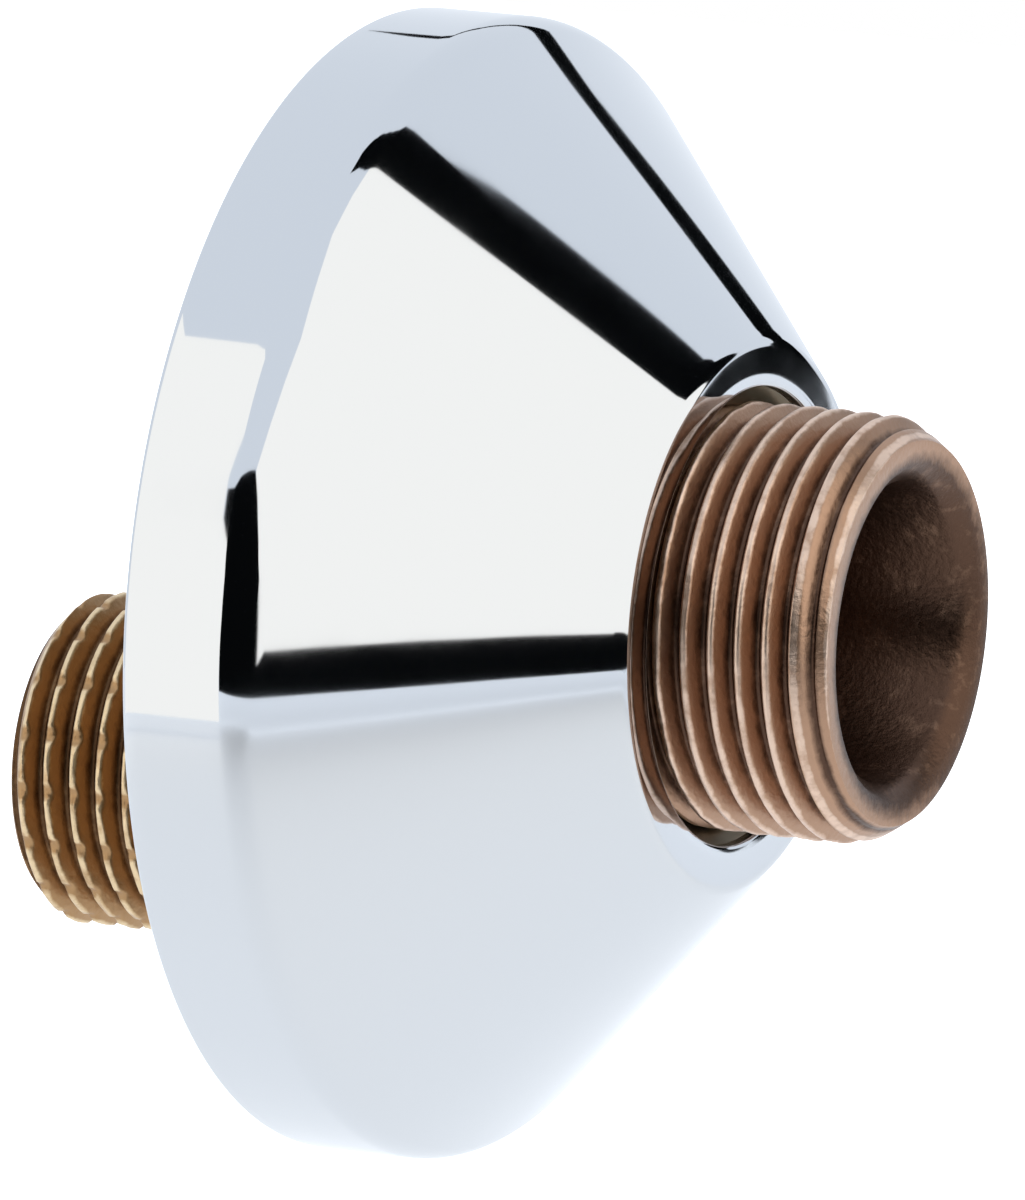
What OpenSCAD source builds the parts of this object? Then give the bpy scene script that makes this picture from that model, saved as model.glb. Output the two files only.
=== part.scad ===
// Eccentric wall union (S-union) for an exposed mixer, with its screwed-on wall rosette.
// The body is one bare casting: a threaded nipple for the wall outlet, an oblique neck that
// moves the axis up by the offset, and a larger threaded end for the mixer's nut.
// The rosette is one plated bell, screwed on the front of the body, rim against the wall.

/* [Wall rosette] */
// Outside diameter of the rim
rosette_d = 70.8; // [62:0.1:80]
// Height of the rosette from the wall to its front lip
rosette_h = 24.8; // [22:0.1:32]
// Height of the straight rim, up to the corner with the cone
rim_h = 7.7; // [5:0.1:10]
// Radius of the corner between rim and cone
rim_round = 2.7; // [0.5:0.1:3]
// Diameter where the cone meets the front lip
lip_d = 33.8; // [30:0.1:36]
// Radius of the lip's outer corner
lip_round = 1; // [0.3:0.1:1.4]
// Wall thickness of the bell
rosette_wall = 2; // [1.5:0.1:2.6]
// Length of the threaded hub inside the bell, from the lip
hub_len = 10; // [8:0.1:12]
// Wall thickness of the hub around its bore
hub_wall = 2.4; // [1.8:0.1:2.8]
// Depth of the open mouth in the lip, around the start of the thread
mouth_depth = 2.2; // [1.8:0.1:3]
// Gap between the mouth's wall and the crests of the front thread
mouth_gap = 0.9; // [0.8:0.01:1.2]

/* [Front thread, for the mixer's nut] */
// Diameter over the crests
front_major_d = 26.441; // [25:0.001:27.5]
// Length of thread that shows in front of the rosette
front_out = 10.8; // [8:0.1:16]
// Radius of the waterway bored from the front
front_bore_r = 9.3; // [7.5:0.1:9.6]
// Width of the bevel inside the front mouth
front_bore_bevel = 1.1; // [0.3:0.1:1.2]
// Length of the worn lead-in on the outside of the front end
front_lead_in = 2.3; // [1.6:0.1:3]
// Depth of the wear at the front edge
front_wear = 1.4; // [0.8:0.1:1.6]
// Distance from the front end to the middle of its first crest
front_first_crest = 1.7; // [1.2:0.1:2]

/* [Wall thread, for the outlet in the wall] */
// Diameter over the crests
wall_major_d = 20.955; // [20:0.001:22]
// Length of the nipple behind the wall plane
wall_reach = 21.3; // [14:0.1:30]
// Radius of the waterway bored from the back
wall_bore_r = 7.5; // [6:0.1:7.8]
// Width of the bevel on the nipple's outer end
wall_end_bevel = 1.2; // [0.6:0.1:1.8]
// Distance from the nipple's end to the middle of its first crest
wall_first_crest = 1.2; // [1:0.1:1.8]

/* [Pipe thread form, 14 to the inch] */
// Distance from one crest to the next
pitch = 1.814; // [1.6:0.001:2.2]
// Depth from crest to root
thread_depth = 1.162; // [0.9:0.001:1.2]
// Clearance between the screwed hub and the body, at the thread's mean diameter
screw_gap = 0.06; // [0.02:0.01:0.1]

/* [Offset neck] */
// Distance between the wall thread's axis and the front thread's axis
axis_offset = 13.4; // [8:0.1:14]
// Distance from the wall plane to the back of the neck
neck_set_in = 2; // [1.5:0.1:3]
// Thickness of the neck's straight collars
collar_t = 3; // [2.5:0.1:3.6]
// Space between the front collar and the hub of the rosette
collar_gap = 2.2; // [1:0.1:3]
// How far the collars stand out past the bodies of the threads
collar_step = 0.9; // [0.6:0.1:1.4]
// Radius of the cored passage that joins the two bores
throat_r = 7.2; // [5.5:0.1:7.3]
// How far the cored passage runs into each bore
throat_lap = 1.5; // [1:0.1:2]

/* [Hidden] */

$fn = 96;
neck_facets = 48;
arc_steps = 10;
eps = 0.01;

// Thread form: flanks at 27.5 degrees from the plane across the axis, crest and root a sixth of the pitch
flank_deg = 27.5;
crest_flat = pitch / 6;
ridge_foot = crest_flat + 2 * thread_depth * tan(flank_deg);

front_r = front_major_d / 2;
wall_r = wall_major_d / 2;
front_root_r = front_r - thread_depth;
wall_root_r = wall_r - thread_depth;

// Heights from the wall plane, towards the room
front_end = rosette_h + front_out;
hub_back = rosette_h - hub_len;
front_collar_top = hub_back - collar_gap;
front_collar_back = front_collar_top - collar_t;
wall_collar_top = neck_set_in + collar_t;

// The screwed joint is drawn at the thread's mean diameter
spigot_r = front_r - thread_depth / 2;
hub_bore_r = spigot_r + screw_gap;
mouth_r = front_r + mouth_gap;
hub_r = hub_bore_r + hub_wall;

front_collar_r = spigot_r + collar_step;
wall_collar_r = wall_r + collar_step;

rim_r = rosette_d / 2;
lip_r = lip_d / 2;
cone_deg = atan((rim_r - lip_r) / (rosette_h - rim_h));
wall_across = rosette_wall / cos(cone_deg);

// Number of ridges that fit between the first crest and the stop behind it
function ridge_count(room) = 1 + floor((room - ridge_foot / 2) / pitch);

// One ridge of the thread as four corners, in rising order, around height z
function ridge(z, root_r) = [
    [root_r, z - ridge_foot / 2],
    [root_r + thread_depth, z - crest_flat / 2],
    [root_r + thread_depth, z + crest_flat / 2],
    [root_r, z + ridge_foot / 2]
];

// Angle of the direction from a to b
function heading(a, b) = atan2(b[1] - a[1], b[0] - a[0]);

// Corner b of the path a-b-c, rounded with radius r, which never takes over half of either side
function rounded(a, b, c, r) =
    let (
        turn = (heading(b, c) - heading(a, b) + 540) % 360 - 180,
        side = min(norm(b - a), norm(c - b)) / 2,
        reach = min(r * abs(tan(turn / 2)), side),
        fit_r = reach / abs(tan(turn / 2)),
        left = turn > 0 ? 1 : -1,
        start = b + reach * (a - b) / norm(a - b),
        out = heading(a, b) - left * 90,
        centre = start - fit_r * [cos(out), sin(out)]
    )
    [for (i = [0 : arc_steps]) centre + fit_r * [cos(out + turn * i / arc_steps), sin(out + turn * i / arc_steps)]];

// Closed outline from corners [x, y, radius]
function soft_outline(p) = [
    for (i = [0 : len(p) - 1])
        let (a = p[(i + len(p) - 1) % len(p)], b = p[i], c = p[(i + 1) % len(p)])
        each b[2] > 0
            ? rounded([a[0], a[1]], [b[0], b[1]], [c[0], c[1]], b[2])
            : [[b[0], b[1]]]
];

// Modelling axis of the front thread, parallel to the wall thread's
module on_front_axis() {
    translate([0, axis_offset, 0]) children();
}

// Stands the fitting on the wall: its own axis points out of the wall, towards -Y
module out_of_wall() {
    rotate([90, 0, 0]) children();
}

// Front end: thread ridges that show, and the plain spigot that the hub is screwed on
module front_end_solid() {
    count = ridge_count(front_out + mouth_depth / 2 - front_first_crest);
    first = front_end - front_first_crest;
    thread_back = first - (count - 1) * pitch - ridge_foot / 2;
    worn_r = front_r - front_wear / 4;
    worn_z = front_end - front_lead_in * 2 / 3;
    face_r = front_r - front_wear;
    rotate_extrude()
        intersection() {
            polygon(concat(
                [[0, front_collar_top - eps], [spigot_r, front_collar_top - eps], [spigot_r, thread_back - crest_flat],
                 [front_root_r, thread_back - crest_flat]],
                [for (i = [count - 1 : -1 : 0]) each ridge(first - i * pitch, front_root_r)],
                [[front_root_r, front_end], [0, front_end]]
            ));
            polygon([
                [0, front_collar_top - 1],
                [front_r + 1, front_collar_top - 1],
                [front_r + 1, front_end - front_lead_in],
                [front_r, front_end - front_lead_in],
                [worn_r, worn_z],
                [face_r, front_end],
                [0, front_end]
            ]);
        }
}

// Wall end: the threaded nipple
module wall_end_solid() {
    count = ridge_count(wall_reach + neck_set_in - wall_first_crest);
    first = -wall_reach + wall_first_crest;
    rotate_extrude()
        intersection() {
            polygon(concat(
                [[0, -wall_reach], [wall_root_r, -wall_reach]],
                [for (i = [0 : count - 1]) each ridge(first + i * pitch, wall_root_r)],
                [[wall_root_r, neck_set_in + eps], [0, neck_set_in + eps]]
            ));
            polygon([
                [0, -wall_reach],
                [wall_r - wall_end_bevel, -wall_reach],
                [wall_r + 1, -wall_reach + wall_end_bevel + 1],
                [wall_r + 1, neck_set_in + 1],
                [0, neck_set_in + 1]
            ]);
        }
}

// Oblique neck that joins the two ends, with a straight collar at each end
module neck_solid() {
    hull() {
        translate([0, 0, neck_set_in]) cylinder(r = wall_collar_r, h = collar_t, $fn = neck_facets);
        on_front_axis()
            translate([0, 0, front_collar_back]) cylinder(r = front_collar_r, h = collar_t, $fn = neck_facets);
    }
}

// Waterway: a bore from each end and the cored passage between them
module waterway() {
    cored_back = wall_collar_top - collar_t / 2;
    cored_front = front_collar_back + collar_t / 2;
    translate([0, 0, -wall_reach - 1]) cylinder(r = wall_bore_r, h = wall_reach + 1 + cored_back);
    on_front_axis() {
        translate([0, 0, cored_front]) cylinder(r = front_bore_r, h = front_end + 1 - cored_front);
        translate([0, 0, front_end - front_bore_bevel])
            cylinder(r1 = front_bore_r, r2 = front_bore_r + 2 * front_bore_bevel, h = 2 * front_bore_bevel);
    }
    hull() {
        translate([0, 0, cored_back - throat_lap]) cylinder(r = throat_r, h = eps, $fn = neck_facets);
        on_front_axis()
            translate([0, 0, cored_front + throat_lap]) cylinder(r = throat_r, h = eps, $fn = neck_facets);
    }
}

module s_body() {
    color([0.72, 0.58, 0.46])
        out_of_wall()
            difference() {
                union() {
                    on_front_axis() front_end_solid();
                    wall_end_solid();
                    neck_solid();
                }
                waterway();
            }
}

module wall_rosette() {
    inner_rim_r = rim_r - rosette_wall;
    inner_corner = rim_h - rosette_wall * tan(cone_deg / 2);
    hub_root = inner_corner + (inner_rim_r - hub_r) / tan(cone_deg);
    color([0.80, 0.82, 0.86])
        out_of_wall()
            on_front_axis()
                rotate_extrude()
                    polygon(soft_outline([
                        [inner_rim_r, 0, 0],
                        [rim_r, 0, 0.4],
                        [rim_r, rim_h, rim_round],
                        [lip_r, rosette_h, lip_round],
                        [mouth_r, rosette_h, 0.25],
                        [mouth_r, rosette_h - mouth_depth + mouth_r - hub_bore_r, 0],
                        [hub_bore_r, rosette_h - mouth_depth, 0],
                        [hub_bore_r, hub_back, 0],
                        [hub_r, hub_back, 0.4],
                        [hub_r, hub_root, 1],
                        [inner_rim_r, inner_corner, 1]
                    ]));
}

s_body();
wall_rosette();
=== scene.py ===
import math

import bmesh
import bpy
import numpy as np
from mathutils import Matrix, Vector


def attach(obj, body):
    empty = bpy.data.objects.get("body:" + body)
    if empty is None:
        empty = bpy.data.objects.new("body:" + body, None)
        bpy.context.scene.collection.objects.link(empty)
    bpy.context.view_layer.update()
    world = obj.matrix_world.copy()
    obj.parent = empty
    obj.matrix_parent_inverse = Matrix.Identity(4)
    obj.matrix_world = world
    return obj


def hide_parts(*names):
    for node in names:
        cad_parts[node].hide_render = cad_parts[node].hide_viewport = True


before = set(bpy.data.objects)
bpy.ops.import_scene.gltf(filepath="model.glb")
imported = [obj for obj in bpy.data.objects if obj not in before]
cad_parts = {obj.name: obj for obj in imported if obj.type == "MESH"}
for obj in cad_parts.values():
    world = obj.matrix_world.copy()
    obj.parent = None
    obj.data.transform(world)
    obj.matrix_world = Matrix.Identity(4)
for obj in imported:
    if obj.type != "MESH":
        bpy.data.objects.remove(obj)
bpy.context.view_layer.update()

# The offset neck of the S-union: the oblique middle of one gunmetal casting, which moves the
# axis up by the offset. It is left as it came from the sand and the fettling belt.
MM = 0.001
OFFSET = 13.4
WALL_COLLAR_R, WALL_COLLAR_BACK, WALL_COLLAR_TOP = 11.38, 2.0, 5.0
FRONT_COLLAR_R, FRONT_COLLAR_BACK, FRONT_COLLAR_TOP = 13.54, 9.6, 12.6
WALL_BORE_R, FRONT_BORE_R, THROAT_R = 7.5, 9.3, 7.2
CORED_BACK, CORED_FRONT = 3.5, 11.1
CAST_ROUND = 0.7


def linear_rgb(hex_code):
    """An sRGB hex colour as the linear values that a shader's socket takes."""
    srgb = [int(hex_code[i:i + 2], 16) / 255 for i in (1, 3, 5)]
    return tuple(c / 12.92 if c <= 0.04045 else ((c + 0.055) / 1.055) ** 2.4 for c in srgb) + (1.0,)


def add(tree, kind, settings=None, values=None, links=None):
    """Adds one node: settings are its properties, values its sockets' numbers, links what feeds them."""
    node = tree.nodes.new(kind)
    for name, value in (settings or {}).items():
        setattr(node, name, value)
    for key, value in (values or {}).items():
        node.inputs[key].default_value = value
    for key, socket in (links or {}).items():
        tree.links.new(socket, node.inputs[key])
    return node


def closed_skin(name, rings, sharp_deg=40):
    """Skins a closed row of rings, each one point a column and its last point on its first, with quads."""
    rings = np.asarray(rings, float) * MM
    count, across = rings.shape[:2]
    bm = bmesh.new()
    verts = [[bm.verts.new(p) for p in ring] for ring in rings]
    for i in range(count):
        here, there = verts[i], verts[(i + 1) % count]
        for j in range(across - 1):
            bm.faces.new((here[j], here[j + 1], there[j + 1], there[j]))
    bmesh.ops.remove_doubles(bm, verts=bm.verts, dist=2e-7)
    bmesh.ops.dissolve_degenerate(bm, edges=bm.edges, dist=2e-7)
    bmesh.ops.recalc_face_normals(bm, faces=bm.faces)
    mesh = bpy.data.meshes.new(name)
    bm.to_mesh(mesh)
    bm.free()
    obj = bpy.data.objects.new(name, mesh)
    bpy.context.scene.collection.objects.link(obj)
    mark_edges(obj, sharp_deg)
    return obj


def mark_edges(obj, sharp_deg):
    """Smooth faces all over, and a sharp edge wherever two faces turn by more than the angle."""
    bm = bmesh.new()
    bm.from_mesh(obj.data)
    for face in bm.faces:
        face.smooth = True
    for edge in bm.edges:
        edge.smooth = len(edge.link_faces) != 2 or edge.calc_face_angle() < math.radians(sharp_deg)
    bm.to_mesh(obj.data)
    bm.free()


def ring(radius, height, centre, columns):
    """A circle of points around an axis at Z = centre, at a height from the wall towards the room."""
    turn = np.linspace(0, 2 * math.pi, columns + 1)
    return np.stack([radius * np.cos(turn), np.full(turn.shape, -height), centre + radius * np.sin(turn)], -1)


def neck_section(height, inset, columns):
    """One slice of the hull around the two collars, drawn in by the casting's edge rounding."""
    turn = np.linspace(0, 2 * math.pi, columns + 1)
    share_low = max(0.0, (height - WALL_COLLAR_TOP) / (FRONT_COLLAR_TOP - WALL_COLLAR_TOP))
    share_high = min(1.0, (height - WALL_COLLAR_BACK) / (FRONT_COLLAR_BACK - WALL_COLLAR_BACK))
    points = []
    for a in turn:
        reach = [
            (s * OFFSET * math.sin(a) + WALL_COLLAR_R + s * (FRONT_COLLAR_R - WALL_COLLAR_R), s)
            for s in (share_low, share_high)
        ]
        s = max(reach)[1]
        r = WALL_COLLAR_R + s * (FRONT_COLLAR_R - WALL_COLLAR_R) - inset
        points.append((r * math.cos(a), -height, s * OFFSET + r * math.sin(a)))
    return points


columns = 128
rings = []
for k in range(7):
    a = math.pi / 2 * k / 6
    rings.append(neck_section(WALL_COLLAR_BACK + CAST_ROUND * (1 - math.sin(a)), CAST_ROUND * (1 - math.cos(a)), columns))
rings.reverse()
for height in np.linspace(WALL_COLLAR_BACK + CAST_ROUND, FRONT_COLLAR_TOP - CAST_ROUND, 24)[1:-1]:
    rings.append(neck_section(height, 0, columns))
for k in range(7):
    a = math.pi / 2 * k / 6
    rings.append(neck_section(FRONT_COLLAR_TOP - CAST_ROUND * (1 - math.sin(a)), CAST_ROUND * (1 - math.cos(a)), columns))
rings.append(ring(FRONT_BORE_R, FRONT_COLLAR_TOP, OFFSET, columns))
rings.append(ring(FRONT_BORE_R, CORED_FRONT, OFFSET, columns))
for height in np.linspace(CORED_FRONT, CORED_BACK, 10):
    share = (height - WALL_COLLAR_BACK) / (FRONT_COLLAR_TOP - WALL_COLLAR_BACK)
    rings.append(ring(THROAT_R, height, share * OFFSET, columns))
rings.append(ring(WALL_BORE_R, CORED_BACK, 0, columns))
rings.append(ring(WALL_BORE_R, WALL_COLLAR_BACK, 0, columns))
neck = closed_skin("offset_neck", rings)


def gunmetal(name, light, dark, roughness):
    """Bare gunmetal, a red bronze: clouds of darker and paler tone, with a grain that varies its roughness and bumps
    its surface.
    """
    material = bpy.data.materials.new(name)
    material.use_nodes = True
    tree = material.node_tree
    shader = tree.nodes["Principled BSDF"]
    shader.inputs["Metallic"].default_value = 1.0
    place = add(tree, "ShaderNodeTexCoord").outputs["Object"]
    # 3 mm clouds of oxide, and 0.4 mm grain of the sand and of the cutting tool
    clouds = add(tree, "ShaderNodeTexNoise", None, {"Scale": 330.0, "Detail": 4.0, "Roughness": 0.6}, {"Vector": place})
    grain = add(tree, "ShaderNodeTexNoise", None, {"Scale": 2500.0, "Detail": 3.0, "Roughness": 0.6}, {"Vector": place})
    tint = add(tree, "ShaderNodeValToRGB", None, None, {"Fac": clouds.outputs["Fac"]})
    tint.color_ramp.elements[0].position = 0.32
    tint.color_ramp.elements[0].color = linear_rgb(dark)
    tint.color_ramp.elements[1].position = 0.66
    tint.color_ramp.elements[1].color = linear_rgb(light)
    tree.links.new(tint.outputs["Color"], shader.inputs["Base Color"])
    dull = add(tree, "ShaderNodeMapRange", None, {"To Min": roughness - 0.1, "To Max": roughness + 0.12},
               {"Value": grain.outputs["Fac"]})
    tree.links.new(dull.outputs["Result"], shader.inputs["Roughness"])
    bump = add(tree, "ShaderNodeBump", None, {"Strength": 0.5, "Distance": 0.00008}, {"Height": grain.outputs["Fac"]})
    tree.links.new(bump.outputs["Normal"], shader.inputs["Normal"])
    return material


neck.data.materials.append(gunmetal("gunmetal_as_cast", "#C8A284", "#7E6250", 0.45))
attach(neck, "root")

# The wall nipple: the casting's back end, turned and cut with a G 1/2 pipe thread for the
# outlet in the wall, its crests notched across so that hemp holds on them.
PITCH = 1.814
THREAD_DEPTH = 1.162
FLANK_SLOPE = 1 / math.tan(math.radians(27.5))
ROWS_PER_PITCH = 24
WALL_THREAD_R = 10.4775
NIPPLE_END = -21.3
NIPPLE_BEVEL = 1.2


def threaded_sleeve(name, outline, start, end, radius, centre, columns):
    """A turned blank, bored through, whose outside from start to end has rows that run along the helix."""
    turn = np.linspace(0, 2 * math.pi, columns + 1)
    steps = int(math.ceil((end - start + PITCH) / PITCH * ROWS_PER_PITCH)) + 1
    rings = []
    for k in range(steps):
        height = start - PITCH + k * PITCH / ROWS_PER_PITCH + PITCH * turn / (2 * math.pi)
        height = np.clip(height, start, end)
        rings.append(np.stack([radius * np.cos(turn), -height, centre + radius * np.sin(turn)], -1))
    for r, z in outline:
        rings.append(ring(r, z, centre, columns))
    return closed_skin(name, rings)


def thread_tree():
    """Geometry Nodes that cut a pipe thread into a blank: crest height, wear, notches and bevels by rule."""
    tree = bpy.data.node_groups.new("cut_pipe_thread", "GeometryNodeTree")
    tree.interface.new_socket("Geometry", in_out="INPUT", socket_type="NodeSocketGeometry")
    for label in ("Axis height", "Crest radius", "Depth", "Pitch", "Crest at", "Start", "End", "Run-out",
                  "End height", "End radius", "End slope", "Shoulder radius", "Shoulder slope",
                  "Notches", "Notch width", "Notch depth", "Crest wear", "Crest rounding", "Seed"):
        tree.interface.new_socket(label, in_out="INPUT", socket_type="NodeSocketFloat")
    tree.interface.new_socket("Material", in_out="INPUT", socket_type="NodeSocketMaterial")
    tree.interface.new_socket("Geometry", in_out="OUTPUT", socket_type="NodeSocketGeometry")
    given = tree.nodes.new("NodeGroupInput").outputs

    def calc(operation, a, b=None, c=None):
        node = tree.nodes.new("ShaderNodeMath")
        node.operation = operation
        for i, term in enumerate((a, b, c)):
            if term is None:
                continue
            if isinstance(term, (int, float)):
                node.inputs[i].default_value = term
            else:
                tree.links.new(term, node.inputs[i])
        return node.outputs[0]

    place = add(tree, "GeometryNodeInputPosition").outputs["Position"]
    split = add(tree, "ShaderNodeSeparateXYZ", None, None, {"Vector": place}).outputs
    height = calc("MULTIPLY", split["Y"], -1.0)
    up = calc("SUBTRACT", split["Z"], given["Axis height"])
    radius = calc("SQRT", calc("ADD", calc("MULTIPLY", split["X"], split["X"]), calc("MULTIPLY", up, up)))
    angle = calc("ARCTAN2", up, split["X"])
    turns = calc("DIVIDE", calc("SUBTRACT", angle, math.pi), 2 * math.pi)
    # Distance to the nearest crest, along the axis
    phase = calc("SUBTRACT", calc("DIVIDE", calc("SUBTRACT", height, given["Crest at"]), given["Pitch"]), turns)
    away = calc("MULTIPLY", calc("PINGPONG", phase, 0.5), given["Pitch"])
    flank = calc("ADD", calc("MULTIPLY", calc("SUBTRACT", calc("MULTIPLY", given["Pitch"], 0.25), away), FLANK_SLOPE),
                 calc("MULTIPLY", given["Depth"], 0.5))
    # Wear takes an uneven amount off the crests, and each notch a flat across them
    patches = add(tree, "ShaderNodeTexNoise", {"noise_dimensions": "4D"}, {"Scale": 420.0, "Detail": 2.0},
                  {"Vector": place, "W": given["Seed"]}).outputs["Fac"]
    worn = calc("MULTIPLY", calc("MAXIMUM", calc("SUBTRACT", patches, 0.42), 0.0), calc("MULTIPLY", given["Crest wear"], 4.0))
    sway = calc("MULTIPLY", calc("SUBTRACT", patches, 0.5), 0.06)
    around = calc("MULTIPLY", calc("ADD", turns, calc("MULTIPLY", sway, 0.1)), given["Notches"])
    arc = calc("MULTIPLY", calc("DIVIDE", calc("PINGPONG", around, 0.5), calc("MAXIMUM", given["Notches"], 1.0)),
               calc("MULTIPLY", given["Crest radius"], 2 * math.pi))
    nick = calc("MAXIMUM", calc("SUBTRACT", 1.0, calc("DIVIDE", arc, given["Notch width"])), 0.0)
    nick = calc("MULTIPLY", calc("MULTIPLY", calc("SQRT", nick), given["Notch depth"]), calc("MINIMUM", given["Notches"], 1.0))
    top = calc("SUBTRACT", calc("SUBTRACT", given["Depth"], worn), nick)
    ridge = calc("SMOOTH_MIN", flank, top, given["Crest rounding"])
    ridge = calc("SMOOTH_MAX", ridge, 0.0, given["Crest rounding"])
    # The thread fades into its mean diameter at the run-out
    fade = calc("MINIMUM", calc("MAXIMUM", calc("DIVIDE", calc("SUBTRACT", height, given["Start"]), given["Run-out"]), 0.0), 1.0)
    mean = calc("MULTIPLY", given["Depth"], 0.5)
    ridge = calc("ADD", mean, calc("MULTIPLY", calc("SUBTRACT", ridge, mean), fade))
    cut = calc("ADD", calc("SUBTRACT", given["Crest radius"], given["Depth"]), ridge)
    # The end's bevel and the worn shoulder behind it
    from_end = calc("ABSOLUTE", calc("SUBTRACT", given["End height"], height))
    bevel = calc("ADD", given["End radius"], calc("MULTIPLY", from_end, given["End slope"]))
    shoulder = calc("ADD", given["Shoulder radius"], calc("MULTIPLY", from_end, given["Shoulder slope"]))
    cut = calc("SMOOTH_MIN", calc("SMOOTH_MIN", cut, shoulder, given["Crest rounding"]), bevel, given["Crest rounding"])
    zone = add(tree, "GeometryNodeInputNamedAttribute", {"data_type": "FLOAT"}, {"Name": "thread_zone"})
    zone = zone.outputs["Attribute"]
    grown = calc("ADD", 1.0, calc("MULTIPLY", calc("SUBTRACT", calc("DIVIDE", cut, radius), 1.0), zone))
    moved = add(tree, "ShaderNodeCombineXYZ", None, None, {
        "X": calc("MULTIPLY", split["X"], grown),
        "Y": split["Y"],
        "Z": calc("ADD", given["Axis height"], calc("MULTIPLY", up, grown)),
    }).outputs["Vector"]
    level = calc("MULTIPLY", calc("DIVIDE", ridge, given["Depth"]), zone)
    noted = add(tree, "GeometryNodeStoreNamedAttribute", {"data_type": "FLOAT", "domain": "POINT"},
                {"Name": "crest_level"}, {"Geometry": given["Geometry"], "Value": level})
    shaped = add(tree, "GeometryNodeSetPosition", None, None, {"Geometry": noted.outputs["Geometry"], "Position": moved})
    real = add(tree, "GeometryNodeRealizeInstances", None, None, {"Geometry": shaped.outputs["Geometry"]})
    dressed = add(tree, "GeometryNodeSetMaterial", None, None,
                  {"Geometry": real.outputs["Geometry"], "Material": given["Material"]})
    tree.links.new(dressed.outputs["Geometry"], tree.nodes.new("NodeGroupOutput").inputs["Geometry"])
    return tree


def cut_thread(obj, tree, sizes, material):
    """Runs the thread tree on a blank with the named sizes, and leaves a plain mesh."""
    modifier = obj.modifiers.new("thread", "NODES")
    modifier.node_group = tree
    sockets = {s.name: s.identifier for s in tree.interface.items_tree if s.in_out == "INPUT"}
    for label, value in sizes.items():
        modifier[sockets[label]] = float(value)
    modifier[sockets["Material"]] = material
    graph = bpy.context.evaluated_depsgraph_get()
    mesh = bpy.data.meshes.new_from_object(obj.evaluated_get(graph))
    obj.modifiers.clear()
    obj.data = mesh
    mark_edges(obj, 50)


def mark_zone(obj, start, end, radius, centre):
    """Notes which points of the blank lie on the outside that is to be threaded."""
    layer = obj.data.attributes.new("thread_zone", "FLOAT", "POINT")
    for i, v in enumerate(obj.data.vertices):
        r = math.hypot(v.co.x, v.co.z - centre * MM) / MM
        h = -v.co.y / MM
        layer.data[i].value = 1.0 if abs(r - radius) < 0.01 and start - 0.01 <= h <= end + 0.01 else 0.0


def gunmetal_thread_painted_light(name, crest, flank, root, roughness):
    """Machined gunmetal thread: paler on its crests, partly rubbed metal and partly a painted highlight, brown on its
    flanks, and darker in its roots, where shade is painted into the colour.
    """
    material = gunmetal(name, flank, flank, roughness)
    tree = material.node_tree
    shader = tree.nodes["Principled BSDF"]
    level = add(tree, "ShaderNodeAttribute", {"attribute_name": "crest_level"}).outputs["Fac"]
    place = add(tree, "ShaderNodeTexCoord").outputs["Object"]
    patch = add(tree, "ShaderNodeTexNoise", None, {"Scale": 700.0, "Detail": 4.0, "Roughness": 0.65}, {"Vector": place})
    shifted = add(tree, "ShaderNodeMath", {"operation": "MULTIPLY_ADD"}, {1: 0.5, 2: -0.25}, {0: patch.outputs["Fac"]})
    total = add(tree, "ShaderNodeMath", {"operation": "ADD"}, None, {0: level, 1: shifted.outputs[0]})
    # Crest level picks the colour: the pale crest colour is rubbed metal with a painted highlight, the dark root colour
    # is painted shade in the thread's grooves.
    tint = add(tree, "ShaderNodeValToRGB", None, None, {"Fac": total.outputs[0]})
    ramp = tint.color_ramp
    ramp.elements[0].position = 0.02
    ramp.elements[0].color = linear_rgb(root)
    ramp.elements[1].position = 0.98
    ramp.elements[1].color = linear_rgb(crest)
    for position, shade in ((0.35, flank), (0.82, flank)):
        stop = ramp.elements.new(position)
        stop.color = linear_rgb(shade)
    tree.links.new(tint.outputs["Color"], shader.inputs["Base Color"])
    return material


threads = thread_tree()
nipple = threaded_sleeve("wall_nipple", [(WALL_BORE_R, WALL_COLLAR_BACK + 0.3), (WALL_BORE_R, NIPPLE_END)],
                         NIPPLE_END, WALL_COLLAR_BACK + 0.3, WALL_THREAD_R, 0, 216)
mark_zone(nipple, NIPPLE_END, WALL_COLLAR_BACK + 0.3, WALL_THREAD_R, 0)
cut_thread(nipple, threads, {
    "Axis height": 0, "Crest radius": WALL_THREAD_R * MM, "Depth": THREAD_DEPTH * MM, "Pitch": PITCH * MM,
    "Crest at": -20.1 * MM, "Start": -40 * MM, "End": 3 * MM, "Run-out": 1 * MM,
    "End height": NIPPLE_END * MM, "End radius": (WALL_THREAD_R - NIPPLE_BEVEL) * MM, "End slope": 1,
    "Shoulder radius": 12 * MM, "Shoulder slope": 0,
    "Notches": 18, "Notch width": 0.5 * MM, "Notch depth": 0.3 * MM, "Crest wear": 0.12 * MM,
    "Crest rounding": 0.16 * MM, "Seed": 3,
}, gunmetal_thread_painted_light("gunmetal_turned_golden", "#E8CFA8", "#B08C64", "#5E4530", 0.36))
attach(nipple, "root")

# The front end: the casting's larger end, bored out and cut with a G 3/4 thread for the mixer's
# nut. Years of nuts and washers have rounded its first turns and scratched its face.
FRONT_THREAD_R = 13.2205
FRONT_END = 35.6
SPIGOT_R = FRONT_THREAD_R - THREAD_DEPTH / 2
BORE_BEVEL = 1.1
THREAD_START = 22.4

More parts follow.
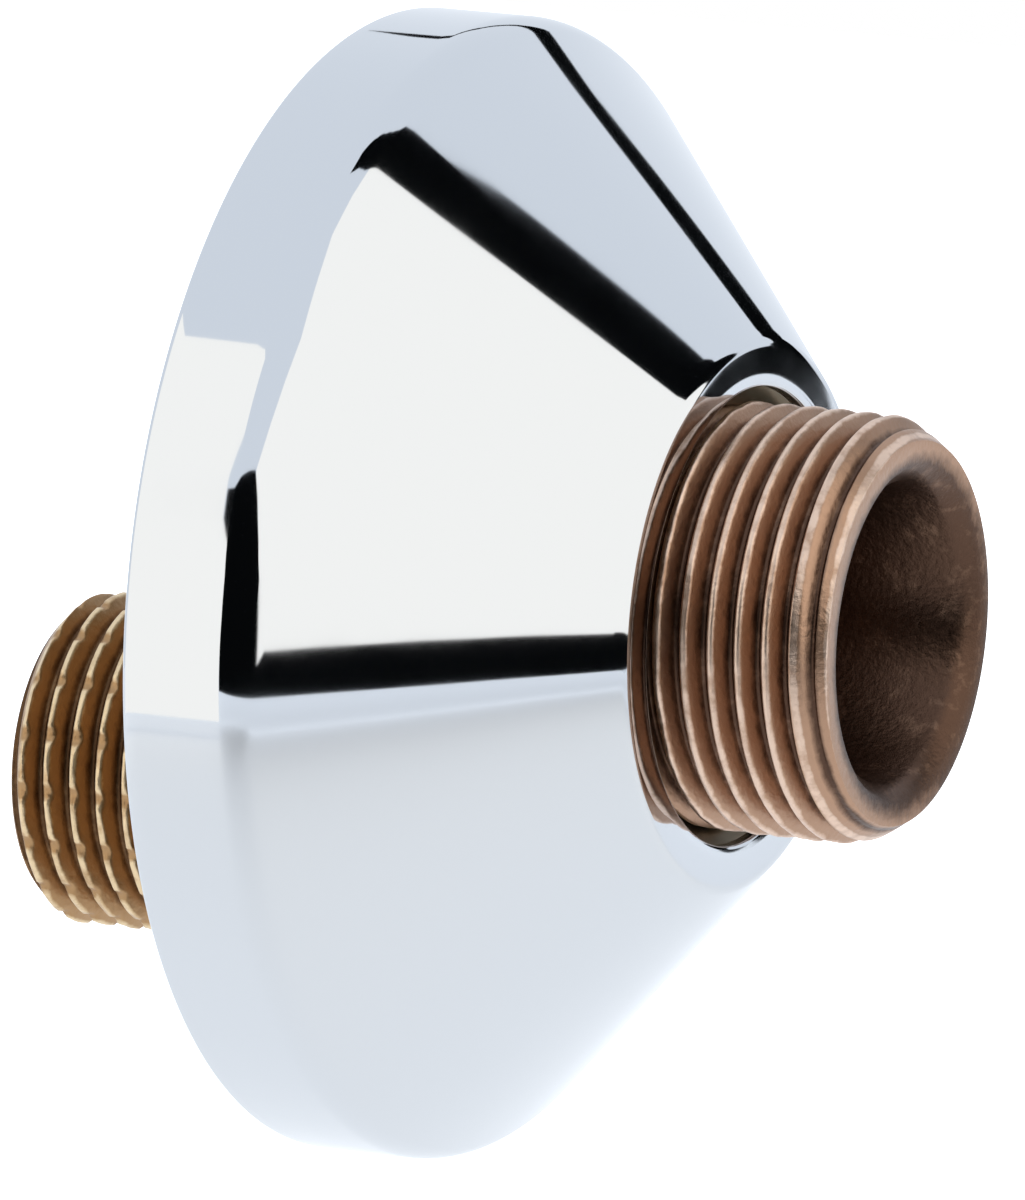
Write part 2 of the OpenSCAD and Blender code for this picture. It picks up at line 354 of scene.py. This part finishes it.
blank = threaded_sleeve("front_threaded_end", [
    (FRONT_BORE_R + BORE_BEVEL, FRONT_END), (FRONT_BORE_R, FRONT_END - BORE_BEVEL),
    (FRONT_BORE_R, FRONT_COLLAR_TOP - 0.4), (SPIGOT_R, FRONT_COLLAR_TOP - 0.4), (SPIGOT_R, THREAD_START),
], THREAD_START, FRONT_END, FRONT_THREAD_R, OFFSET, 288)
mark_zone(blank, THREAD_START, FRONT_END, FRONT_THREAD_R, OFFSET)
cut_thread(blank, threads, {
    "Axis height": OFFSET * MM, "Crest radius": FRONT_THREAD_R * MM, "Depth": THREAD_DEPTH * MM, "Pitch": PITCH * MM,
    "Crest at": 24.85 * MM, "Start": THREAD_START * MM, "End": FRONT_END * MM, "Run-out": 1.2 * MM,
    "End height": FRONT_END * MM, "End radius": 11.82 * MM, "End slope": 0.686,
    "Shoulder radius": 12.175 * MM, "Shoulder slope": 0.4545,
    "Notches": 0, "Notch width": 1 * MM, "Notch depth": 0, "Crest wear": 0.1 * MM,
    "Crest rounding": 0.2 * MM, "Seed": 7,
}, gunmetal_thread_painted_light("gunmetal_turned_pink", "#E4C8B4", "#B39078", "#5A4438", 0.34))
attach(blank, "root")
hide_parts("s_body")
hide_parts("s_body")
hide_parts("s_body")

# The wall rosette: one brass bell, spun and turned, polished and chrome plated, screwed on the
# front end until its rim meets the tiles. Inside it is dull, because the plating hardly reaches.
RIM_R, RIM_H, RIM_ROUND = 35.4, 7.7, 2.7
LIP_R, LIP_ROUND, ROSETTE_H = 16.9, 1.0, 24.8
MOUTH_R, MOUTH_DEPTH, HUB_BORE_R, HUB_R = 14.12, 2.2, 12.70, 15.10
HUB_BACK, HUB_ROOT, INNER_RIM_R, INNER_CORNER = 14.8, 23.74, 33.4, 6.83


def rounded_outline(corners, step):
    """Closed outline through corners (radius, height, rounding), in short steps, so that reflections run true."""
    points = []
    count = len(corners)
    for i in range(count):
        a, b, c = (np.array(corners[(i + k) % count][:2], float) for k in (-1, 0, 1))
        fillet = corners[i][2]
        if fillet == 0:
            points.append(b)
            continue
        ab, bc = (b - a) / np.linalg.norm(b - a), (c - b) / np.linalg.norm(c - b)
        turn = math.atan2(ab[0] * bc[1] - ab[1] * bc[0], ab @ bc)
        reach = fillet * abs(math.tan(turn / 2))
        side = 1 if turn > 0 else -1
        start = b - ab * reach
        centre = start + side * fillet * np.array([-ab[1], ab[0]])
        arm = start - centre
        steps = 12 if fillet > 0.5 else 6
        for k in range(steps + 1):
            w = turn * k / steps
            points.append(centre + np.array([arm[0] * math.cos(w) - arm[1] * math.sin(w),
                                             arm[0] * math.sin(w) + arm[1] * math.cos(w)]))
    filled = []
    for i, p in enumerate(points):
        q = points[(i + 1) % len(points)]
        pieces = max(1, int(np.linalg.norm(q - p) / step))
        filled.extend(p + (q - p) * k / pieces for k in range(pieces))
    return filled


bell_outline = rounded_outline([
    (INNER_RIM_R, 0, 0), (RIM_R, 0, 0.4), (RIM_R, RIM_H, RIM_ROUND), (LIP_R, ROSETTE_H, LIP_ROUND),
    (MOUTH_R, ROSETTE_H, 0.25), (MOUTH_R, ROSETTE_H - MOUTH_DEPTH + MOUTH_R - HUB_BORE_R, 0),
    (HUB_BORE_R, ROSETTE_H - MOUTH_DEPTH, 0), (HUB_BORE_R, HUB_BACK, 0), (HUB_R, HUB_BACK, 0.4),
    (HUB_R, HUB_ROOT, 1), (INNER_RIM_R, INNER_CORNER, 1),
], 0.6)
bell = closed_skin("chrome_rosette", [ring(r, z, OFFSET, 320) for r, z in bell_outline], 30)
inside = bell.data.attributes.new("inside", "FLOAT", "POINT")
for i, v in enumerate(bell.data.vertices):
    r = math.hypot(v.co.x, v.co.z - OFFSET * MM) / MM
    h = -v.co.y / MM
    skin = RIM_R - max(0.0, h - RIM_H) * (RIM_R - LIP_R) / (ROSETTE_H - RIM_H)
    inside.data[i].value = min(1.0, max(0.0, skin - r - 1.2)) if h < ROSETTE_H - 0.4 else 0.0

chrome = bpy.data.materials.new("chrome_plate_polished")
chrome.use_nodes = True
tree = chrome.node_tree
shader = tree.nodes["Principled BSDF"]
shader.inputs["Metallic"].default_value = 1.0
place = add(tree, "ShaderNodeTexCoord").outputs["Object"]
hidden = add(tree, "ShaderNodeAttribute", {"attribute_name": "inside"}).outputs["Fac"]
tint = add(tree, "ShaderNodeMix", {"data_type": "RGBA"}, {6: linear_rgb("#D3D6DA"), 7: linear_rgb("#A79F8C")},
           {0: hidden})
tree.links.new(tint.outputs[2], shader.inputs["Base Color"])
film = add(tree, "ShaderNodeTexNoise", None, {"Scale": 260.0, "Detail": 3.0}, {"Vector": place})
gloss = add(tree, "ShaderNodeMapRange", None, {"To Min": 0.02, "To Max": 0.06}, {"Value": film.outputs["Fac"]})
dulled = add(tree, "ShaderNodeMath", {"operation": "MULTIPLY_ADD"}, {1: 0.32}, {0: hidden, 2: gloss.outputs["Result"]})
tree.links.new(dulled.outputs[0], shader.inputs["Roughness"])
swell = add(tree, "ShaderNodeTexNoise", None, {"Scale": 90.0, "Detail": 1.0}, {"Vector": place})
bump = add(tree, "ShaderNodeBump", None, {"Strength": 1.0, "Distance": 0.000008}, {"Height": swell.outputs["Fac"]})
tree.links.new(bump.outputs["Normal"], shader.inputs["Normal"])
bell.data.materials.append(chrome)
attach(bell, "root")
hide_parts("wall_rosette")


# The studio: a pale table well below the fitting, warm soft cards to the left and in front, black
# cloth behind the camera, black strips at two joints of the tent, and the white tent round it all.
def card(name, outline, distance, hex_code, strength):
    """A card whose outline is given as directions from the fitting: azimuth from the room, elevation."""
    points = []
    for i, start in enumerate(outline):
        end = outline[(i + 1) % len(outline)]
        pieces = max(1, int(math.dist(start, end) / 3))
        for k in range(pieces):
            a = math.radians(start[0] + (end[0] - start[0]) * k / pieces)
            e = math.radians(start[1] + (end[1] - start[1]) * k / pieces)
            points.append((distance * math.sin(a) * math.cos(e), -distance * math.cos(a) * math.cos(e),
                           distance * math.sin(e) + OFFSET * MM))
    bm = bmesh.new()
    bm.faces.new([bm.verts.new(p) for p in points])
    bmesh.ops.triangulate(bm, faces=bm.faces)
    mesh = bpy.data.meshes.new(name)
    bm.to_mesh(mesh)
    bm.free()
    obj = bpy.data.objects.new(name, mesh)
    bpy.context.scene.collection.objects.link(obj)
    material = bpy.data.materials.new(name + "_cloth")
    material.use_nodes = True
    tree = material.node_tree
    tree.nodes.remove(tree.nodes["Principled BSDF"])
    glow = add(tree, "ShaderNodeEmission", None, {"Color": linear_rgb(hex_code), "Strength": strength})
    tree.links.new(glow.outputs["Emission"], tree.nodes["Material Output"].inputs["Surface"])
    mesh.materials.append(material)
    obj.visible_camera = False
    return obj


card("left_card", [(-145, -15.8), (-111.5, -15.8), (-111.5, -10), (-110.2, 3), (-110.7, 10), (-116.3, 20),
                   (-118, 27), (-120, 49.5), (-145, 49.5)], 0.9, "#FFFDF8", 1.34)
card("front_card", [(-26, -7.5), (-21.4, -2.3), (-10, -4), (10, -7), (40, -11), (60, -12.2), (50, 5), (42, 20),
                    (34, 36), (30.4, 40.4), (27.4, 43), (24, 58), (10, 62), (-10, 62), (-16, 50), (-19, 39.5),
                    (-33, 38.3), (-49, 35), (-66, 29.5), (-50.7, 21.8), (-35.6, 12), (-25.5, 4)],
     0.9, "#FFFDF8", 1.34)
card("black_cloth", [(-111, -10.3), (-24, -12), (20, -12.3), (62, -12.6), (58, -9), (30, 0), (-15, 8), (-24.4, 3.8),
                     (-35.6, 12), (-50.7, 21.8), (-67.6, 29.7), (-78.6, 30.7), (-106.3, 28.8), (-117.4, 25.1),
                     (-116.3, 19.9), (-110.7, 9.8), (-110.2, 2.6)], 1.0, "#101214", 0.5)
card("black_strip_above", [(62, -12.4), (58, -2), (56, 10), (55.5, 25), (54.8, 34.9), (53.6, 35.8), (51.3, 37.3), (48.1, 39.1),
                           (44.5, 40.9), (41.1, 42), (39.7, 48.4), (41, 56), (46, 64), (58, 72), (80, 80), (60, 85),
                           (35, 80), (26, 72), (23, 65), (23.9, 58), (27.4, 43), (30.4, 40.4), (34, 36), (42, 20),
                           (50, 5), (60, -11.5)], 0.95, "#101214", 0.5)
card("black_strip_right", [(118.5, 24.2), (115.5, 23.4), (108.3, 25.6), (101.5, 24.8), (94.7, 22.4), (88, 18.5), (85, 17.2),
                           (91.1, 7.6), (80, 2), (70, -6), (63, -12), (62, -11), (66, 0), (74, 9), (82.1, 16.5),
                           (81.4, 20.8), (86, 22.3), (94.7, 24.2), (101.5, 26.4), (108.3, 27.3), (115.5, 25), (118.5, 25.8)],
     0.95, "#101214", 0.5)

floor_mesh = bpy.data.meshes.new("table")
floor_mesh.from_pydata([(-1.6, -1.28, -0.28), (1.6, -1.28, -0.28), (1.6, 1.6, -0.28), (-1.6, 1.6, -0.28)], [], [(0, 1, 2, 3)])
floor = bpy.data.objects.new("table", floor_mesh)
bpy.context.scene.collection.objects.link(floor)
laminate = bpy.data.materials.new("table_laminate")
laminate.use_nodes = True
tree = laminate.node_tree
shader = tree.nodes["Principled BSDF"]
shader.inputs["Base Color"].default_value = linear_rgb("#F0F2F4")
shader.inputs["Roughness"].default_value = 0.7
rays = add(tree, "ShaderNodeLightPath")
seen = add(tree, "ShaderNodeMath", {"operation": "MAXIMUM"}, None,
           {0: rays.outputs["Is Glossy Ray"], 1: rays.outputs["Is Transmission Ray"]})
lift = add(tree, "ShaderNodeMath", {"operation": "MULTIPLY_ADD"}, {1: 0.3},
           {0: seen.outputs[0], 2: rays.outputs["Is Camera Ray"]})
shader.inputs["Emission Color"].default_value = (1, 1, 1, 1)
tree.links.new(lift.outputs[0], shader.inputs["Emission Strength"])
floor_mesh.materials.append(laminate)

world = bpy.data.worlds.new("white_tent")
bpy.context.scene.world = world
world.use_nodes = True
tree = world.node_tree
background = tree.nodes["Background"]
rays = add(tree, "ShaderNodeLightPath")
seen = add(tree, "ShaderNodeMix", {"data_type": "RGBA"}, {6: (0.90, 0.96, 1.04, 1), 7: (1, 1, 1, 1)},
           {0: rays.outputs["Is Camera Ray"]})
tree.links.new(seen.outputs[2], background.inputs["Color"])
background.inputs["Strength"].default_value = 1.0

# The camera stands to the left of the fitting and a little above it, as in the photograph.
AZIMUTH, ELEVATION, DISTANCE = math.radians(-63.884), math.radians(12.612), 1.0
PIXELS_PER_MM, AXIS_X, AXIS_Y = 16.175, 384.8, 577.7
back = Vector((math.sin(AZIMUTH) * math.cos(ELEVATION), -math.cos(AZIMUTH) * math.cos(ELEVATION), math.sin(ELEVATION)))
right = Vector((math.cos(AZIMUTH), math.sin(AZIMUTH), 0))
up = back.cross(right)
aim = Vector((0, 0, OFFSET * MM)) + (right * (512.5 - AXIS_X) - up * (600 - AXIS_Y)) / PIXELS_PER_MM * MM
camera_data = bpy.data.cameras.new("camera")
camera_data.sensor_width = 36
camera_data.lens = 36 * PIXELS_PER_MM * DISTANCE * 1000 / 1200
camera = bpy.data.objects.new("camera", camera_data)
bpy.context.scene.collection.objects.link(camera)
camera.location = aim + back * DISTANCE
camera.rotation_euler = back.to_track_quat("Z", "Y").to_euler()
bpy.context.scene.camera = camera

bpy.context.scene.view_settings.view_transform = "Standard"
